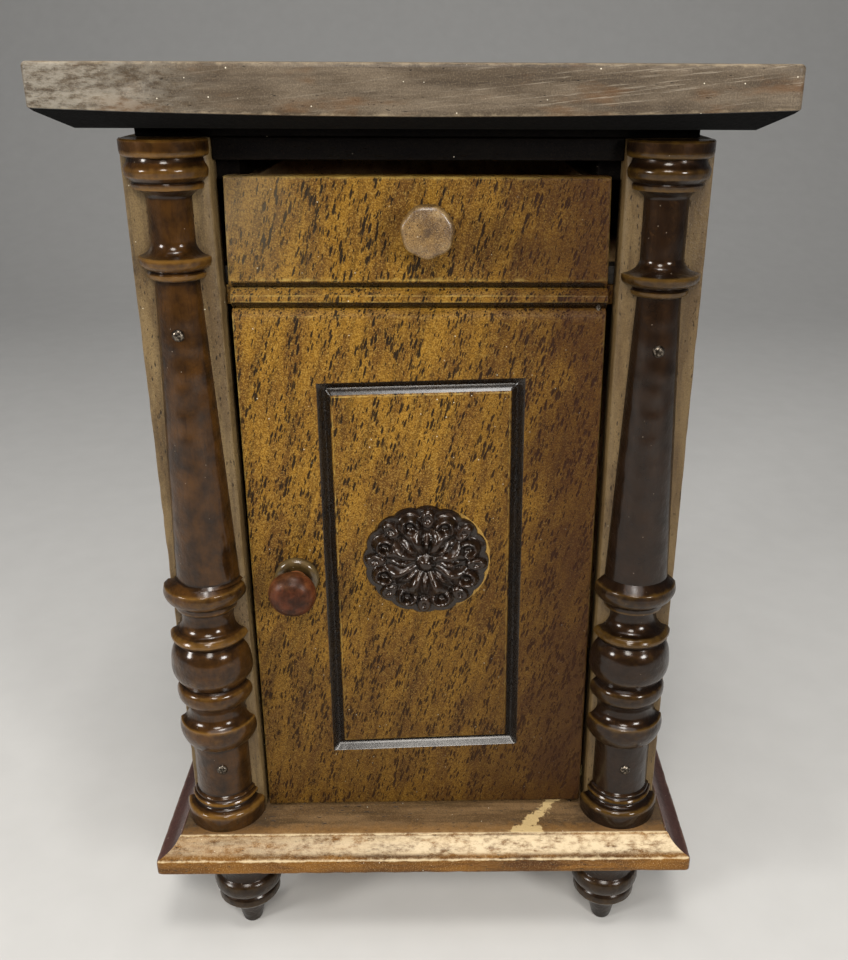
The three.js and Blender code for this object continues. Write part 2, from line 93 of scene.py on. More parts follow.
def add_floor():
    """A pale floor that curves up into a backdrop."""
    reach, rise, curve = 1.6, 2.4, 0.8
    outline = [(-2.5 * reach, 0), (reach - curve, 0)]
    for step in range(1, 13):
        angle = step / 12 * math.pi / 2
        outline.append((reach - curve + curve * math.sin(angle), curve - curve * math.cos(angle)))
    outline.append((reach, rise))
    verts = [(x, y, z) for y, z in outline for x in (-3 * reach, 3 * reach)]
    faces = [(2 * i, 2 * i + 1, 2 * i + 3, 2 * i + 2) for i in range(len(outline) - 1)]
    mesh = bpy.data.meshes.new("floor")
    mesh.from_pydata(verts, [], faces)
    mesh.shade_smooth()
    g = Graph("pale_floor")
    grain = g.noise(g.place(), 0.05, detail=3)
    g.set("Base Color", g.mix(grain, srgb("c6c5c2"), srgb("cfcecb")))
    g.set("Roughness", 0.9)
    mesh.materials.append(g.material)
    floor = bpy.data.objects.new("floor", mesh)
    bpy.context.scene.collection.objects.link(floor)


def add_light(name, location, aim, size, power, colour=(1, 1, 1)):
    data = bpy.data.lights.new(name, "AREA")
    data.shape = "DISK"
    data.size = size
    data.energy = power
    data.color = colour
    light = bpy.data.objects.new(name, data)
    light.location = location
    light.rotation_euler = (Vector(aim) - Vector(location)).to_track_quat("-Z", "Y").to_euler()
    bpy.context.scene.collection.objects.link(light)


def add_lights():
    """Two window-like lights low on either side, two lamps above the camera and a soft light overhead."""
    add_light("left_window", (-0.75, -0.50, 0.42), (0, 0, 0.14), 0.22, 4.3, (1, 0.98, 0.95))
    add_light("right_window", (0.50, -0.68, 0.42), (0, 0, 0.14), 0.20, 3.5, (1, 0.98, 0.95))
    add_light("front_lamp", (-0.04, -0.66, 0.66), (0, 0, 0.12), 0.24, 3.0, (1, 0.95, 0.88))
    add_light("high_lamp", (0.02, -0.36, 0.98), (0, 0, 0.15), 0.20, 2.6, (1, 0.97, 0.93))
    add_light("overhead", (0.0, -0.25, 1.3), (0, 0, 0.1), 1.0, 5.5)
    world = bpy.data.worlds.new("studio")
    world.use_nodes = True
    background = world.node_tree.nodes["Background"]
    background.inputs["Color"].default_value = (0.86, 0.9, 1, 1)
    background.inputs["Strength"].default_value = 0.08
    bpy.context.scene.world = world
    bpy.context.scene.view_settings.view_transform = "Standard"


# ------------------------ shader graphs
def srgb(code):
    """A linear colour from an sRGB hex code."""
    parts = [int(code[i:i + 2], 16) / 255 for i in (0, 2, 4)]
    return (*(c / 12.92 if c <= 0.04045 else ((c + 0.055) / 1.055) ** 2.4 for c in parts), 1)


class Graph:
    """Short calls for the shader nodes that the materials are made of. Distances are in millimetres."""

    def __init__(self, name):
        self.material = bpy.data.materials.new(name)
        self.material.use_nodes = True
        self.tree = self.material.node_tree
        self.shader = self.tree.nodes["Principled BSDF"]

    def feed(self, socket, value):
        if isinstance(value, bpy.types.NodeSocket):
            self.tree.links.new(value, socket)
        else:
            socket.default_value = value

    def set(self, name, value):
        self.feed(self.shader.inputs[name], value)

    def add(self, kind, values, **settings):
        made = self.tree.nodes.new("ShaderNode" + kind)
        for key, value in settings.items():
            setattr(made, key, value)
        for key, value in values.items():
            self.feed(made.inputs[key], value)
        return made

    def math(self, operation, a, b=0.0):
        return self.add("Math", {0: a, 1: b}, operation=operation).outputs[0]

    def plus(self, a, b):
        return self.math("ADD", a, b)

    def minus(self, a, b):
        return self.math("SUBTRACT", a, b)

    def times(self, a, b):
        return self.math("MULTIPLY", a, b)

    def place(self):
        """Millimetres in the CAD frame, moving with the piece."""
        raw = self.add("TexCoord", {}).outputs["Object"]
        return self.scaled(raw, (1000, 1000, 1000))

    def scaled(self, vector, factors):
        return self.add("VectorMath", {0: vector, 1: factors}, operation="MULTIPLY").outputs[0]

    def turned(self, vector, axis, degrees):
        values = {"Vector": vector, "Angle": math.radians(degrees)}
        return self.add("VectorRotate", values, rotation_type=axis + "_AXIS").outputs[0]

    def axis(self, vector, index):
        return self.add("SeparateXYZ", {0: vector}).outputs[index]

    def noise(self, vector, scale, detail=4, roughness=0.55):
        values = {"Vector": vector, "Scale": scale, "Detail": detail, "Roughness": roughness}
        return self.add("TexNoise", values).outputs[0]

    def shaken(self, vector, scale, amount):
        """The vector moved about by up to half the amount."""
        colour = self.add("TexNoise", {"Vector": vector, "Scale": scale, "Detail": 2}).outputs["Color"]
        centred = self.add("VectorMath", {0: colour, 1: (0.5, 0.5, 0.5)}, operation="SUBTRACT").outputs[0]
        offset = self.scaled(centred, (amount, amount, amount))
        return self.add("VectorMath", {0: vector, 1: offset}, operation="ADD").outputs[0]

    def cells(self, vector, scale):
        """The distance to the nearest of scattered points, and a random value for that point."""
        node = self.add("TexVoronoi", {"Vector": vector, "Scale": scale})
        return node.outputs["Distance"], self.axis(node.outputs["Color"], 0)

    def band(self, value, low, high):
        """0 at low and 1 at high, smoothly."""
        values = {0: value, 1: low, 2: high, 3: 0.0, 4: 1.0}
        return self.add("MapRange", values, interpolation_type="SMOOTHSTEP").outputs[0]

    def span(self, value, low, high):
        """A 0 to 1 value stretched to run from low to high."""
        return self.add("MapRange", {0: value, 3: low, 4: high}).outputs[0]

    def mix(self, factor, a, b):
        return self.add("Mix", {0: factor, 6: a, 7: b}, data_type="RGBA").outputs[2]

    def stained(self, colour, mask, amount, code):
        """The colour, with a hex code's colour laid over it where the mask is 1."""
        return self.mix(self.times(mask, amount), colour, srgb(code))

    def attribute(self, name):
        return self.add("Attribute", {}, attribute_name=name).outputs["Fac"]

    def bump(self, height, depth):
        values = {"Strength": 1.0, "Distance": depth * MM, "Height": height}
        self.set("Normal", self.add("Bump", values).outputs[0])


# How far streaks and pores are drawn out along each grain direction.
GRAIN = {"x": (0.07, 1, 1), "y": (1, 0.07, 1), "z": (1, 1, 0.07)}
PORE = {"x": (0.22, 1, 1), "y": (1, 0.22, 1), "z": (1, 1, 0.22)}


def vessel_layer(g, place, scale, size, chosen):
    """Short dark dashes: size says how wide they are where, chosen is the share of places left empty."""
    distance, pick = g.cells(place, scale)
    inside = g.band(g.minus(size, distance), -0.05, 0.1)
    return g.times(inside, g.band(pick, chosen, chosen + 0.15))


def pore_mask(g, place, grain, amount):
    """Open vessels that follow the grain, thicker and closer together in some streaks than in others."""
    uneven = g.scaled(g.shaken(place, 0.7, 0.6), PORE[grain])
    clusters = g.noise(g.scaled(place, PORE[grain]), 0.22, detail=4, roughness=0.65)
    size = g.times(g.span(g.band(clusters, 0.34, 0.62), 0.16, 0.44), amount)
    large = vessel_layer(g, uneven, 1.05, size, 0.3)
    small = vessel_layer(g, uneven, 1.8, g.times(size, 0.95), 0.3)
    return g.math("MAXIMUM", large, g.times(small, 0.9))


def wood(name, grain, tones, bare, lean=0, pores=1.0, grit=0.5, gloss=0.4, coat=0.25, specular=0.5, wear=1.0,
         finish=None):
    """Stained and varnished wood. tones are its dark, middle and light colours as hex codes, bare is what
    shows where the stain has worn off, and finish may change the colour for one piece's own marks."""
    g = Graph(name)
    place = g.place()
    leaning = g.turned(place, "Y", lean) if lean else place
    along = g.scaled(leaning, GRAIN[grain])
    dashes = g.scaled(leaning, PORE[grain])
    dark, middle, light = (srgb(t) for t in tones)

    mottle = g.noise(dashes, 0.17, detail=5, roughness=0.62)
    colour = g.mix(g.band(mottle, 0.36, 0.62), middle, light)
    streaks = g.noise(along, 0.5, detail=4, roughness=0.65)
    colour = g.mix(g.span(g.band(streaks, 0.46, 0.74), 0, 0.55), colour, dark)
    speckle = g.noise(leaning, 2.6, detail=2, roughness=0.6)
    colour = g.mix(g.span(g.band(speckle, 0.45, 0.64), 0, grit), colour, dark)
    colour = g.mix(g.span(g.band(speckle, 0.47, 0.32), 0, grit * 0.8), colour, srgb(bare))

    vessels = pore_mask(g, leaning, grain, pores)
    colour = g.stained(colour, vessels, 0.93, "0f0a06")

    relief = g.attribute("relief")
    patchy = g.noise(place, 0.3, detail=6, roughness=0.7)
    worn = g.plus(relief, g.span(patchy, -1.1, 0.7))
    worn = g.times(g.band(worn, 0.3, 0.9), wear)
    # Darker where the relief is below 0: dirt, and painted shade in grooves, hollows and on slopes facing
    # down.
    grime_and_shade = g.band(g.minus(g.span(patchy, -0.3, 0.3), relief), 0.3, 0.75)
    colour = g.stained(colour, worn, 0.8, bare)
    # Tiny pale specks: dust, and painted glints of light.
    specks, chosen = g.cells(place, 0.42)
    dust_and_glints = g.times(g.band(specks, 0.085, 0.05), g.band(chosen, 0.72, 0.78))
    colour = g.stained(colour, dust_and_glints, 0.8, "e6dcc6")
    if finish:
        colour = finish(g, place, colour)
    # Dirt and painted shade laid on in near black.
    colour = g.stained(colour, grime_and_shade, 0.95, "0a0604")
    # Painted shade: near black, rougher and without coat under the top board, where the relief is at the
    # shade mark.
    painted_underside_shade = g.band(relief, painted_shade_mark + 0.4, painted_shade_mark + 0.1)
    g.set("Base Color", g.mix(painted_underside_shade, colour, srgb("010101")))
    rough = g.span(g.noise(place, 0.8, detail=4), gloss - 0.12, gloss + 0.14)
    rough = g.plus(rough, g.times(vessels, 0.2))
    rough = g.minus(rough, g.times(grime_and_shade, 0.2))
    g.set("Roughness", g.plus(rough, g.times(painted_underside_shade, 0.6)))
    g.set("Specular IOR Level", specular)
    g.set("Coat Weight", g.times(g.span(grime_and_shade, coat, 0.8), g.span(painted_underside_shade, 1, 0)))
    g.set("Coat Roughness", 0.22)
    height = g.minus(g.span(speckle, 0, 0.55), vessels)
    height = g.plus(height, g.span(g.noise(place, 0.35, detail=3), 0, 1.1))
    g.bump(height, 0.16)
    return g.material


def varnished(name, deep, warm, glow, gloss=0.3, coat=0.65, coat_roughness=0.16, pools=(0.38, 0.62)):
    """Thick dark varnish over turned wood: warm where little of it lies, bare along the highest rings, where
    a highlight is also painted, and darker in the hollows, from dirt and painted shade.
    """
    g = Graph(name)
    place = g.place()
    pooled = g.noise(place, 0.16, detail=4, roughness=0.6)
    colour = g.mix(g.band(pooled, *pools), srgb(deep), srgb(warm))
    streaks = g.noise(g.scaled(place, (1, 1, 0.14)), 1.1, detail=4)
    colour = g.mix(g.span(g.band(streaks, 0.5, 0.75), 0, 0.5), colour, srgb(deep))
    relief = g.attribute("relief")
    patchy = g.noise(place, 0.4, detail=4)
    # Lighter along the ring crests: worn varnish, and a painted highlight.
    worn_and_lit = g.band(g.plus(relief, g.span(patchy, -0.6, 0.6)), 0.1, 1.1)
    colour = g.stained(colour, worn_and_lit, 0.55, glow)
    # Darker in the hollows between rings: dirt and painted shade.
    grime_and_shade = g.band(g.minus(g.span(patchy, -0.4, 0.4), relief), 0.2, 0.8)
    colour = g.stained(colour, grime_and_shade, 0.85, "0b0705")
    # Tiny pale specks: dust, and painted glints of light.
    specks, chosen = g.cells(place, 0.5)
    dust_and_glints = g.times(g.band(specks, 0.08, 0.05), g.band(chosen, 0.72, 0.76))
    colour = g.stained(colour, dust_and_glints, 0.5, "a2937f")
    g.set("Base Color", colour)
    g.set("Roughness", g.span(g.noise(place, 0.7, detail=4), gloss, gloss + 0.25))
    g.set("Specular IOR Level", 0.25)
    g.set("Specular Tint", srgb("c98a4a"))
    g.set("Coat Weight", g.span(g.noise(place, 0.6, detail=3), coat - 0.15, coat + 0.15))
    g.set("Coat Roughness", coat_roughness)
    runs = g.noise(place, 0.45, detail=2)
    wrinkles = g.noise(place, 1.9, detail=3)
    g.bump(g.plus(runs, g.span(wrinkles, 0, 0.22)), 0.3)
    return g.material


def steel(name):
    """Wire gone dark with age, brighter where it has been rubbed."""
    g = Graph(name)
    place = g.place()
    spots = g.noise(place, 1.6, detail=5, roughness=0.7)
    g.set("Base Color", g.mix(g.band(spots, 0.36, 0.56), srgb("8b8174"), srgb("2c2620")))
    g.set("Metallic", 1.0)
    g.set("Roughness", g.span(spots, 0.18, 0.55))
    g.bump(g.noise(place, 4.0, detail=3), 0.04)
    return g.material


# ------------------------ mesh helpers
def stand_in(node, mesh, material):
    """Puts a finished mesh in the scene in place of a CAD node."""
    mesh.materials.clear()
    mesh.materials.append(material)
    mesh.shade_smooth()
    mesh.set_sharp_from_angle(angle=math.radians(38))
    piece = bpy.data.objects.new(node + "_look", mesh)
    bpy.context.scene.collection.objects.link(piece)
    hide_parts(node)
    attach(piece, body_of[node])


def mesh_of(name, verts, faces, relief):
    mesh = bpy.data.meshes.new(name)
    mesh.from_pydata([tuple(v) for v in verts], [], faces)
    marks = mesh.attributes.new("relief", "FLOAT", "POINT")
    marks.data.foreach_set("value", np.asarray(relief, dtype=np.float32))
    mesh.validate()
    return mesh


def outward(mesh, merged=0.0):
    """Turns every face of a closed mesh outwards, with points nearer than merged joined first."""
    bm = bmesh.new()
    bm.from_mesh(mesh)
    if merged:
        bmesh.ops.remove_doubles(bm, verts=bm.verts, dist=merged)
    bmesh.ops.recalc_face_normals(bm, faces=bm.faces)
    bm.to_mesh(mesh)
    bm.free()


def closed_piece(node, verts, faces, relief, material):
    mesh = mesh_of(node, verts, faces, relief)
    outward(mesh)
    stand_in(node, mesh, material)


def wave(point, size, seed):
    """Smooth noise from -1 to 1 whose lumps are about size millimetres across."""
    return noise.noise(Vector(point) / (size * MM) + Vector((seed, seed * 1.7, seed * 0.3)))


def band(value, low, high):
    """0 at low and 1 at high, smoothly."""
    t = min(1.0, max(0.0, (value - low) / (high - low)))
    return t * t * (3 - 2 * t)


def at(value, a, b, va, vb):
    """The straight line through (va, a) and (vb, b), at value."""
    return a + (b - a) * (value - va) / (vb - va)


def back_centre(node):
    """The middle of a CAD node's back face."""
    low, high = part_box(node)
    return (low.x + high.x) / 2, high.y, (low.z + high.z) / 2


def softened(node, radius, material):
    """A CAD node with its arrises rounded. The rounded strips are marked as worn, and the slopes along its
    front as dark if they face down, or slightly dark if they face up, which is painted shade."""
    bm = bmesh.new()
    bm.from_mesh(frame["nodes"][node].data)
    bmesh.ops.remove_doubles(bm, verts=bm.verts, dist=1e-6)
    bmesh.ops.dissolve_limit(bm, angle_limit=math.radians(1), verts=bm.verts, edges=bm.edges)
    sharp = [e for e in bm.edges if e.is_manifold and e.calc_face_angle() > math.radians(25)]
    bevelled = bmesh.ops.bevel(bm, geom=sharp, offset=radius * MM, segments=2, profile=0.5,
                               affect="EDGES", clamp_overlap=True)
    bm.faces.index_update()
    worn = {face.index for face in bevelled["faces"] if face.is_valid}
    mesh = bpy.data.meshes.new(node)
    bm.to_mesh(mesh)
    bm.free()
    marks = mesh.attributes.new("relief", "FLOAT", "CORNER")
    values = np.zeros(len(mesh.loops), dtype=np.float32)
    for polygon in mesh.polygons:
        corners = list(polygon.loop_indices)
        if polygon.index in worn:
            values[corners] = 0.8
        # Painted shade: slopes along the front that face down are marked dark, those facing up slightly
        # dark.
        elif polygon.normal.y < -0.5 and abs(polygon.normal.z) > 0.5:
            values[corners] = -1.2 if polygon.normal.z < 0 else -0.35
    marks.data.foreach_set("value", values)
    stand_in(node, mesh, material)


def spaced(low, high, edge, step):
    """Values from low to high, closely spaced within edge of either end."""
    ends = [edge * k for k in (0, 0.15, 0.35, 0.65, 1)]
    count = max(1, round((high - low - 2 * edge) / step))
    middle = np.linspace(low + edge, high - edge, count + 1)[1:-1]
    return [low + e for e in ends] + list(middle) + [high - e for e in reversed(ends)]


def worn_box(node, radius, material, step=3.0, dents=0.12, chamfer=None):
    """A board as a closed lattice with rounded, slightly uneven arrises. chamfer is a (point, normal) plane
    that takes off one arris."""
    low, high = (np.array(v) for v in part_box(node))
    radius = radius * MM
    lists = [spaced(low[k], high[k], radius, step * MM) for k in range(3)]
    index, verts, relief = {}, [], []

    def vertex(i, j, k):
        if (i, j, k) in index:
            return index[i, j, k]
        raw = np.array([lists[0][i], lists[1][j], lists[2][k]])
        core = np.clip(raw, low + radius, high - radius)
        away = raw - core
        length = np.linalg.norm(away)
        normal = away / length if length else away
        point = core + normal * radius
        edge = sorted(min(raw[a] - low[a], high[a] - raw[a]) for a in range(3))[1] / MM
        worn = math.exp(-edge / 1.1)
        bite = max(0.0, wave(point, 7, 3) * 0.7 + wave(point, 2.5, 8) * 0.5)
        point = point - normal * dents * MM * bite * (0.25 + 1.5 * worn)
        if chamfer is not None:
            beyond = float(np.dot(point - chamfer[0], chamfer[1]))
            if beyond > 0:
                point = point - np.array(chamfer[1]) * beyond
        index[i, j, k] = len(verts)
        verts.append(point)
        relief.append(worn)
        return index[i, j, k]

    faces = []
    counts = [len(values) - 1 for values in lists]
    for axis in range(3):
        u, v = [a for a in range(3) if a != axis]
        for side in (0, counts[axis]):
            for a in range(counts[u]):
                for b in range(counts[v]):
                    corners = []
                    for da, db in ((0, 0), (1, 0), (1, 1), (0, 1)):
                        spot = [0, 0, 0]
                        spot[axis], spot[u], spot[v] = side, a + da, b + db
                        corners.append(vertex(*spot))
                    kept = (side > 0) == (axis != 1)
                    faces.append(corners if kept else corners[::-1])
    stand_in(node, mesh_of(node, verts, faces, relief), material)


# ------------------------ turned pieces
def turned_profile(node, centre, along, sway):
    """(height, radius) of a turned CAD node's outline, read off its own vertices."""
    spots = {tuple(round(c, 6) for c in v.co) for v in frame["nodes"][node].data.vertices}
    pairs = Counter()
    for spot in spots:
        offset = Vector(spot) - centre
        height = offset.dot(along)
        offset.x -= sway(height)
        pairs[round(height, 5), round((offset - along * height).length, 5)] += 1
    kept = sorted(pair for pair, count in pairs.items() if count >= 6 and pair[1] > 0)
    outline = []
    while kept:
        level = [pair for pair in kept if pair[0] == kept[0][0]]
        kept = kept[len(level):]
        last = outline[-1][1] if outline else 0
        outline.extend(sorted(level, key=lambda pair: abs(pair[1] - last)))
    return outline


def resampled(outline):
    """Finer points on an outline: curved through gentle bends, straight between corners."""
    step, straight = 0.3 * MM, 3 * MM
    corner = math.radians(34)
    points = [np.array(p) for p in outline]
    spans = [b - a for a, b in zip(points, points[1:])]
    lengths = [np.linalg.norm(s) for s in spans]
    heads = [s / length for s, length in zip(spans, lengths)]
    result = [points[0]]
    for i, length in enumerate(lengths):
        tangents = []
        for near, bend in ((i - 1, i), (i + 1, i + 1)):
            if near < 0 or near >= len(spans) or length > straight:
                tangents.append(heads[i])
                continue
            turn = math.acos(max(-1.0, min(1.0, float(heads[near] @ heads[i]))))
            if turn > corner:
                tangents.append(heads[i])
            elif lengths[near] > straight:
                tangents.append(heads[near])
            else:
                blended = heads[near] * length + heads[i] * lengths[near]
                tangents.append(blended / np.linalg.norm(blended))
        count = max(1, math.ceil(length / step))
        for k in range(1, count + 1):
            t = k / count
            h00, h10 = 2 * t**3 - 3 * t**2 + 1, t**3 - 2 * t**2 + t
            h01, h11 = 3 * t**2 - 2 * t**3, t**3 - t**2
            result.append(h00 * points[i] + h10 * length * tangents[0]
                          + h01 * points[i + 1] + h11 * length * tangents[1])
    return result


def ring_relief(outline):
    """How far each outline point bulges out past the average of its neighbours, from -1 to 1."""
    points = np.array(outline)
    steps = np.linalg.norm(np.diff(points, axis=0), axis=1)
    travelled = np.concatenate([[0], np.cumsum(steps)])
    last = len(points) - 1
    marks = []
    for i, point in enumerate(points):
        near = np.abs(travelled - travelled[i]) < 1.8 * MM
        heading = points[min(i + 3, last)] - points[max(i - 3, 0)]
        outwards = np.array([-heading[1], heading[0]]) / np.linalg.norm(heading)
        bulge = float((point - points[near].mean(axis=0)) @ outwards)
        marks.append(max(-1.0, min(1.0, bulge / (0.35 * MM))))
    return marks


def turned_piece(node, centre, along, material, flat_back=0.0, wobble=0.06, shape=None, smallest=0.0,
                 sway=lambda height: 0.0):
    """A fine lathe copy of a CAD node. flat_back is how far in front of the axis a split turning is cut,
    shape(angle, height) may scale the radius, and sway(height) moves a crooked turning along X."""
    centre, along = Vector(centre), Vector(along)
    across = Vector((1, 0, 0))
    forward = along.cross(across)
    outline = turned_profile(node, centre, along, sway)
    outline = [p for p in outline if p[1] >= smallest * MM]
    outline = resampled(outline)
    marks = ring_relief(outline)
    count = 96
    verts, relief = [], []
    for (height, radius), mark in zip(outline, marks):
        reach = math.acos(flat_back / radius) if flat_back else math.pi
        for k in range(count):
            part = k / (count - 1) if flat_back else k / count
            angle = (2 * part - 1) * reach
            scale = shape(angle, height) if shape else 1.0
            spot = (radius * math.sin(angle), -radius * math.cos(angle), height)
            grown = radius * scale + wobble * MM * wave(spot, 5, 2)
            grown = max(grown, 0.05 * MM)
            if flat_back and k in (0, count - 1):
                grown = radius
            sideways = across * (grown * math.sin(angle) + sway(height))
            ahead = forward * (-grown * math.cos(angle))
            verts.append(centre + along * height + sideways + ahead)
            relief.append(mark)
    faces = []
    for ring in range(len(outline) - 1):
        for k in range(count):
            a, b = ring * count + k, ring * count + (k + 1) % count
            faces.append((a, b, b + count, a + count))
    last = (len(outline) - 1) * count
    faces.append(tuple(reversed(range(count))))
    faces.append(tuple(range(last, last + count)))
    closed_piece(node, verts, faces, relief, material)


# ------------------------ boards with a worked face
def corner(node, right, up):
    """(x, z) of the CAD node's corner that lies furthest towards right and up, which are -1 or 1."""
    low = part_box(node)[0][1]
    face = [v.co for v in frame["nodes"][node].data.vertices if v.co.y < low + 4 * MM]
    best = max(face, key=lambda co: right * co.x * 1.5 + up * co.z)
    return best.x, best.z


def line_crossing(column, row):
    """Where a near-upright line, as its x at the foot and head, meets a near-level one."""
    (x0, x1, z0, z1), (za, zb, xa, xb) = column, row
    x, z = (x0 + x1) / 2, (za + zb) / 2
    for _ in range(6):
        x = x0 + (x1 - x0) * (z - z0) / (z1 - z0)
        z = za + (zb - za) * (x - xa) / (xb - xa)
    return x, z


def field_lines(first, last, grooves):
    """Lines, each as its two ends, from one edge of a field to the other, closer together along the edges
    and across the grooves."""
    rim = [0, 0.12, 0.3, 0.55, 0.9, 1.4, 1.9]
    lip = [-0.6, -0.3, -0.1, 0.1, 0.3, 0.8]
    trench = lip + [groove_width / 2 + t for t in (-0.7, -0.25, 0, 0.25, 0.7)]
    trench += [groove_width - t for t in reversed(lip)]
    step = 2 * MM
    ends = [(first[0] + r * MM, first[1] + r * MM) for r in rim]
    ends += [(last[0] - r * MM, last[1] - r * MM) for r in rim]
    for base, sign in grooves:
        ends += [(base[0] + sign * t * MM, base[1] + sign * t * MM) for t in trench]
    ends.sort(key=sum)
    full = [ends[0]]
    for end in ends[1:]:
        start = full[-1]
        gap = (sum(end) - sum(start)) / 2
        count = max(1, round(gap / step))
        full += [tuple(at(k / count, *pair, 0, 1) for pair in zip(start, end)) for k in range(1, count + 1)]
    return full


def field_faces(width, height):
    """Faces of a field of points, a rim round it and a back. Returns them and the field's outer loop."""
    faces = []
    for r in range(height - 1):
        for c in range(width - 1):
            a = r * width + c
            faces.append((a, a + 1, a + width + 1, a + width))
    loop = list(range(width)) + [r * width + width - 1 for r in range(1, height)]
    loop += [(height - 1) * width + c for c in range(width - 2, -1, -1)]
    loop += [r * width for r in range(height - 2, 0, -1)]
    start = width * height
    for k in range(len(loop)):
        n = (k + 1) % len(loop)
        faces.append((loop[n], loop[k], start + k, start + n))
    faces.append(tuple(range(start + len(loop) - 1, start - 1, -1)))
    return faces, loop


def worked_board(node, depth, material, groove=None):
    """A board whose front is a fine field. depth(edges, inside) gives how far back each point of it lies,
    and its mark, from the distances to the board's four edges and past the groove's outer line, in
    millimetres."""
    front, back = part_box(node)[0][1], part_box(node)[1][1]
    corners = [corner(node, r, u) for r, u in ((-1, -1), (1, -1), (1, 1), (-1, 1))]
    (lbx, lbz), (rbx, rbz), (rtx, rtz), (ltx, ltz) = corners
    upright, level = [], []
    if groove:
        stretch = [extended(groove[a], groove[b], lbz, ltz, 1) for a, b in ((0, 3), (1, 2))]
        upright = [(stretch[0], 1), (stretch[1], -1)]
        stretch = [extended(groove[a], groove[b], lbx, rbx, 0) for a, b in ((0, 1), (3, 2))]
        level = [(stretch[0], 1), (stretch[1], -1)]
    columns = field_lines((lbx, ltx), (rbx, rtx), upright)
    rows = field_lines((lbz, rbz), (ltz, rtz), level)
    verts, relief = [], []
    for za, zb in rows:
        for x0, x1 in columns:
            x, z = line_crossing((x0, x1, lbz, ltz), (za, zb, lbx, rbx))
            edges = (x - at(z, lbx, ltx, lbz, ltz), at(z, rbx, rtx, lbz, ltz) - x,
                     z - at(x, lbz, rbz, lbx, rbx), at(x, ltz, rtz, lbx, rbx) - z)
            inside = None
            if groove:
                (ax, az), (bx, bz), (cx, cz), (dx, dz) = groove
                inside = min(x - at(z, ax, dx, az, dz), at(z, bx, cx, bz, cz) - x,
                             z - at(x, az, bz, ax, bx), at(x, dz, cz, dx, cx) - z) / MM
            back_by, mark = depth([max(0.0, e) / MM for e in edges], inside)
            dent = max(0.0, wave((x, 0, z), 9, 5)) * 0.05 + max(0.0, wave((x, 0, z), 2.2, 1) - 0.35) * 0.1
            verts.append((x, front + (back_by + dent) * MM, z))
            relief.append(mark)
    faces, loop = field_faces(len(columns), len(rows))
    for i in loop:
        verts.append((verts[i][0], back, verts[i][2]))
        relief.append(0.3)
    closed_piece(node, verts, faces, relief, material)


def extended(first, second, low, high, axis):
    """The line through two (x, z) points, carried to low and high along axis 0 or 1."""
    other = 1 - axis
    return tuple(at(v, first[other], second[other], first[axis], second[axis]) for v in (low, high))


def rounding(edge, radius):
    """How far back an arris of that radius lies at a distance from its edge."""
    if edge >= radius:
        return 0.0
    return radius - math.sqrt(max(0.0, radius**2 - (radius - edge) ** 2))


def lip_mark(past, stain=1.3):
    """Wear along the lip of a groove and darkening inside it, which is stain and painted shade, at a
    distance past the lip.
    """
    return 0.9 * math.exp(-((past / 0.28) ** 2)) - stain * band(past, 0.15, 0.5)


def edge_depth(side, slope, ease, reach, stain):
    """(depth, mark) near an arris eased by a radius and worn for some way in, or on the slope past one."""
    back = max(rounding(side, ease), slope, 0.0)
    return back, max(lip_mark(slope, stain), math.exp(-side / reach) - band(slope, 0.15, 0.5))


def drawer_depth(edges, _inside):
    """Rounded edges, and the slope along the bottom that makes half of the V groove."""
    left, right, bottom, top = edges
    # The bottom slope faces down and is darkened strongly: painted shade.
    return edge_depth(min(left, right, top), chamfer_leg - bottom, 0.6, 0.9, 1.3)


def door_depth(edges, inside):
    """Rounded edges, the slope along the top and the V groove round the panel."""
    left, right, bottom, top = edges
    # The top slope faces up and is darkened only slightly: painted shade.
    back, mark = edge_depth(min(left, right, bottom), chamfer_leg - 0.1 - top, 0.5, 0.8, 0.35)
    if 0 < inside < groove_width:
        cut = groove_deepest * (1 - abs(2 * inside / groove_width - 1))
        back = max(back, min(cut, groove_deepest * 0.95))
        # The whole groove is marked dark: stain and painted shade.
        mark = max(lip_mark(groove_width - inside), -1.3 * band(inside, 0, 0.25))
    elif inside >= groove_width:
        mark = max(mark, 0.9 * math.exp(-(((inside - groove_width) / 0.28) ** 2)))
    return back, mark


# ------------------------ top board and plinth
def swept(node, sections, material):
    """Joins closed sections, each as its points and marks, into a piece with flat ends."""
    count = len(sections[0][0])
    verts = [p for points, _ in sections for p in points]
    relief = [m for _, marks in sections for m in marks]
    faces = []
    for s in range(len(sections) - 1):
        for i in range(count):
            n = (i + 1) % count
            a, b = s * count + i, s * count + n
            faces.append((a, b, b + count, a + count))
    last = (len(sections) - 1) * count
    faces.append(tuple(range(count)))
    faces.append(tuple(range(last + count - 1, last - 1, -1)))
    closed_piece(node, verts, faces, relief, material)


def top_outline(foot, lower, head):
    """(distance inwards, height) up the bevel from its inner edge, up the face and over onto the top."""
    bevel, ease = 8 * MM, 1.1 * MM
    face = head - ease - lower
    outline = [(bevel, foot)]
    outline += [(bevel * (1 - k / 6), foot + (lower - foot) * k / 6) for k in range(1, 6)]
    outline += [(0.35 * MM, lower - 0.15 * MM), (0.08 * MM, lower + 0.12 * MM)]
    outline += [(0, lower + face * k / 10 + 0.3 * MM * (1 - k / 10)) for k in range(11)]
    for turn in (0.4, 0.8, 1.2, math.pi / 2):
        outline.append((ease * (1 - math.cos(turn)), head - ease * (1 - math.sin(turn))))
    return outline + [(2.2 * MM, head), (5 * MM, head)]


